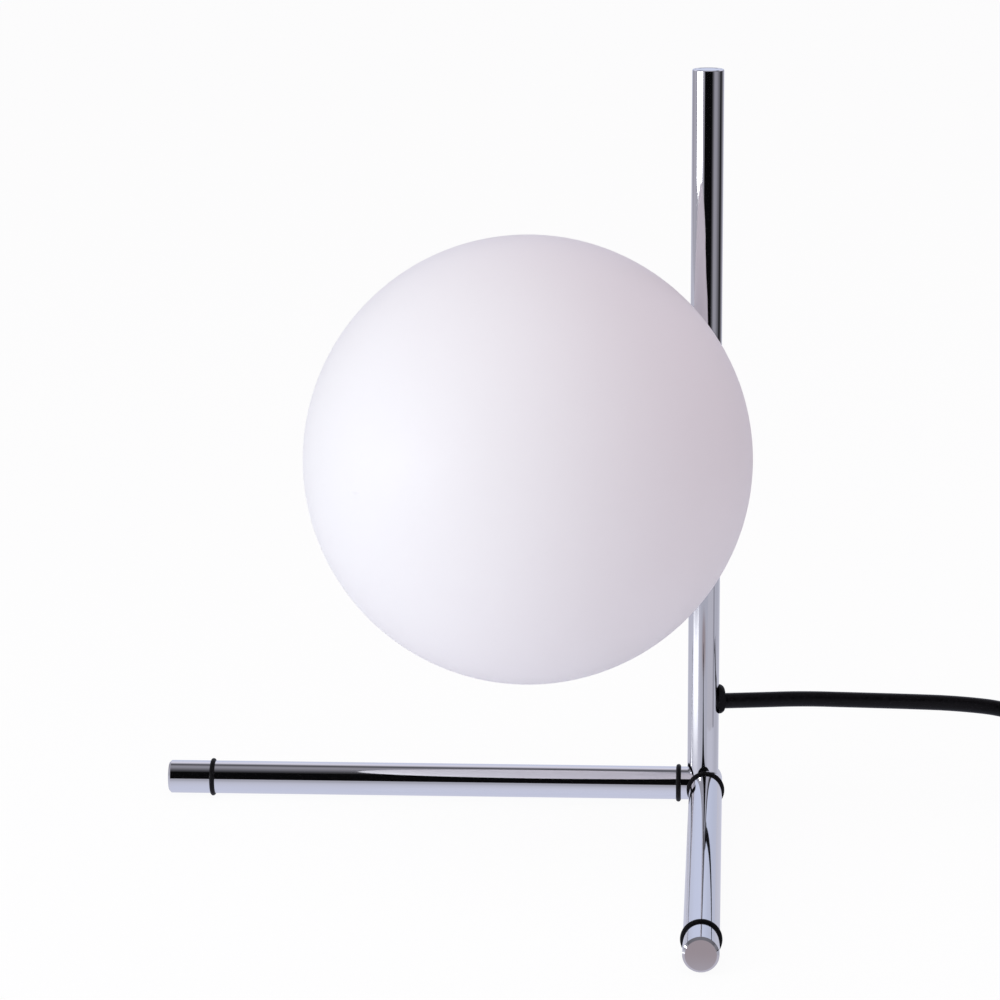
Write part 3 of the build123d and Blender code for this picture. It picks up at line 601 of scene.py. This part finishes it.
def makeMirroredTable():
    # What metal sees of the table, as a painted reflection on a glowing sheet: pale from above, and
    # a mirror at a low angle
    item = flatMesh("painted_table_reflection", *studio["mirroredTable"])
    showInChromeOnly(item)
    material = bpy.data.materials.new("table_painted_reflection")
    material.use_nodes = True
    tree = material.node_tree
    tree.nodes.remove(tree.nodes["Principled BSDF"])
    facing = tree.nodes.new("ShaderNodeLayerWeight")
    tint = blendColours(tree, facing.outputs["Facing"], studio["paleAbove"], studio["paleAlong"])
    place = tree.nodes.new("ShaderNodeNewGeometry")
    gap = tree.nodes.new("ShaderNodeVectorMath")
    gap.operation = "DISTANCE"
    gap.inputs[1].default_value = upright + studio["frontOfLeg"]
    tree.links.new(place.outputs["Position"], gap.inputs[0])
    # Painted reflection: the sheet turns warm-dark near the spot in front of the front leg
    paintedDarkShare = remap(tree, gap.outputs["Value"], *studio["paintedWarmDarkReach"], 1.0, 0.0, "SMOOTHSTEP")
    pale = tree.nodes.new("ShaderNodeEmission")
    tree.links.new(blendColours(tree, paintedDarkShare, tint, studio["paintedWarmDark"]), pale.inputs["Color"])
    gloss = tree.nodes.new("ShaderNodeBsdfGlossy")
    gloss.inputs["Roughness"].default_value = studio["mirroredGloss"]
    fresnel = tree.nodes.new("ShaderNodeFresnel")
    share = tree.nodes.new("ShaderNodeMath")
    share.operation = "MINIMUM"
    share.inputs[1].default_value = studio["mirroredShare"]
    tree.links.new(fresnel.outputs[0], share.inputs[0])
    both = blendShaders(tree, share.outputs[0], pale, gloss)
    tree.links.new(both.outputs[0], tree.nodes["Material Output"].inputs["Surface"])
    item.data.materials.append(material)


def colourRound(tree, angle, stops):
    first, last = stops[0][0], stops[-1][0]
    ramp = tree.nodes.new("ShaderNodeValToRGB")
    marks = ramp.color_ramp.elements
    while len(marks) < len(stops):
        marks.new(0.5)
    for mark, (degrees, bright, tint) in zip(marks, stops):
        mark.position = (degrees - first) / (last - first)
        mark.color = (*[bright * part for part in roomTints[tint]], 1)
    turned = remap(tree, angle, math.radians(first), math.radians(last))
    tree.links.new(turned, ramp.inputs["Fac"])
    return ramp.outputs["Color"]


def angleOf(tree, rise, run):
    turn = tree.nodes.new("ShaderNodeMath")
    turn.operation = "ARCTAN2"
    tree.links.new(rise, turn.inputs[0])
    tree.links.new(run, turn.inputs[1])
    return turn.outputs[0]


def makeSky():
    world = bpy.data.worlds.new("studio")
    world.use_nodes = True
    scene.world = world
    tree = world.node_tree
    links = tree.links
    path = tree.nodes.new("ShaderNodeLightPath")
    towards = tree.nodes.new("ShaderNodeTexCoord")
    parts = tree.nodes.new("ShaderNodeSeparateXYZ")
    links.new(towards.outputs["Generated"], parts.inputs[0])
    x, y, z = parts.outputs
    toFront = tree.nodes.new("ShaderNodeMath")
    toFront.operation = "MULTIPLY"
    toFront.inputs[1].default_value = -1
    links.new(y, toFront.inputs[0])
    around = colourRound(tree, angleOf(tree, y, x), walls)
    over = colourRound(tree, angleOf(tree, z, toFront.outputs[0]), ceiling)
    rising = remap(tree, z, *studio["wallsEnd"], blend="SMOOTHSTEP")
    mirrored = tree.nodes.new("ShaderNodeBackground")
    links.new(blendColours(tree, rising, around, over), mirrored.inputs["Color"])
    ahead = blendColours(tree, remap(tree, x, -1.0, 1.0), studio["skyLeft"], studio["skyRight"])
    behind = remap(tree, y, studio["behindFrom"], 1.0)
    light = tree.nodes["Background"]
    links.new(blendColours(tree, behind, ahead, studio["skyBehind"]), light.inputs["Color"])
    white = tree.nodes.new("ShaderNodeBackground")
    white.inputs["Color"].default_value = (1, 1, 1, 1)
    forGlossy = blendShaders(tree, path.outputs["Is Glossy Ray"], light, mirrored)
    forCamera = blendShaders(tree, path.outputs["Is Camera Ray"], forGlossy, white)
    links.new(forCamera.outputs[0], tree.nodes["World Output"].inputs["Surface"])


# Lamps and boards: place from the upright, size, and how bright
lamps = {
    "key_light": {
        "place": (-1.68, -1.2, 0.6),
        "size": (1.4, 1.4),
        "power": 16.9,
        "colour": (0.90, 1.0, 0.98),
    },
    "top_light": {
        "place": (-0.2, -0.5, 1.85),
        "size": (1.6, 1.6),
        "power": 5.6,
        "colour": (1.0, 0.98, 1.0),
    },
}
boards = {
    # Low strip of light to the left
    "left_soft_box": {
        "middle": (-0.91, -0.525, 0.216),
        "size": (0.80, 0.092),
        "colour": (1.0, 1.0, 1.0),
        "glow": 4.8,
    },
    # Glowing cards beside the upright, seen only in the chrome: painted grey reflections that keep
    # the spare cord out of its chrome
    "pale_painted_reflection": {
        "middle": (0.115, -0.096, 0.0475),
        "size": (0.121, 0.095),
        "colour": (0.52, 0.51, 0.58),
        "glow": 1.0,
    },
    "grey_painted_reflection": {
        "middle": (0.1516, -0.0322, 0.0475),
        "size": (0.034, 0.095),
        "colour": (0.33, 0.32, 0.37),
        "glow": 1.0,
    },
}


def addLamp(name, lamp):
    data = bpy.data.lights.new(name, "AREA")
    data.shape = "RECTANGLE"
    data.size, data.size_y = lamp["size"]
    data.energy = lamp["power"]
    data.color = lamp["colour"]
    item = bpy.data.objects.new(name, data)
    scene.collection.objects.link(item)
    item.location = upright + Vector(lamp["place"])
    aim = upright + studio["aim"] - item.location
    item.rotation_euler = aim.to_track_quat("-Z", "Y").to_euler()
    item.visible_glossy = False
    item.visible_camera = False


def addBoard(name, board):
    middle = upright + Vector(board["middle"])
    away = Vector(board["middle"])
    away.z = 0
    away.normalize()
    side = away.cross(Vector((0, 0, 1)))
    wide, tall = board["size"]
    mesh = bpy.data.meshes.new(name)
    corners = []
    for across, rise in ((-1, -1), (1, -1), (1, 1), (-1, 1)):
        corners.append(middle + side * across * wide / 2 + Vector((0, 0, rise * tall / 2)))
    mesh.from_pydata(corners, [], [(0, 1, 2, 3)])
    item = bpy.data.objects.new(name, mesh)
    scene.collection.objects.link(item)
    material = bpy.data.materials.new(name)
    material.use_nodes = True
    tree = material.node_tree
    tree.nodes.remove(tree.nodes["Principled BSDF"])
    glow = tree.nodes.new("ShaderNodeEmission")
    glow.inputs["Color"].default_value = (*board["colour"], 1)
    glow.inputs["Strength"].default_value = board["glow"]
    tree.links.new(glow.outputs[0], tree.nodes["Material Output"].inputs["Surface"])
    mesh.materials.append(material)
    showInChromeOnly(item)


makeTable()
makeMirroredTable()
makeSky()
for name, lamp in lamps.items():
    addLamp(name, lamp)
for name, board in boards.items():
    addBoard(name, board)
print("studio set")
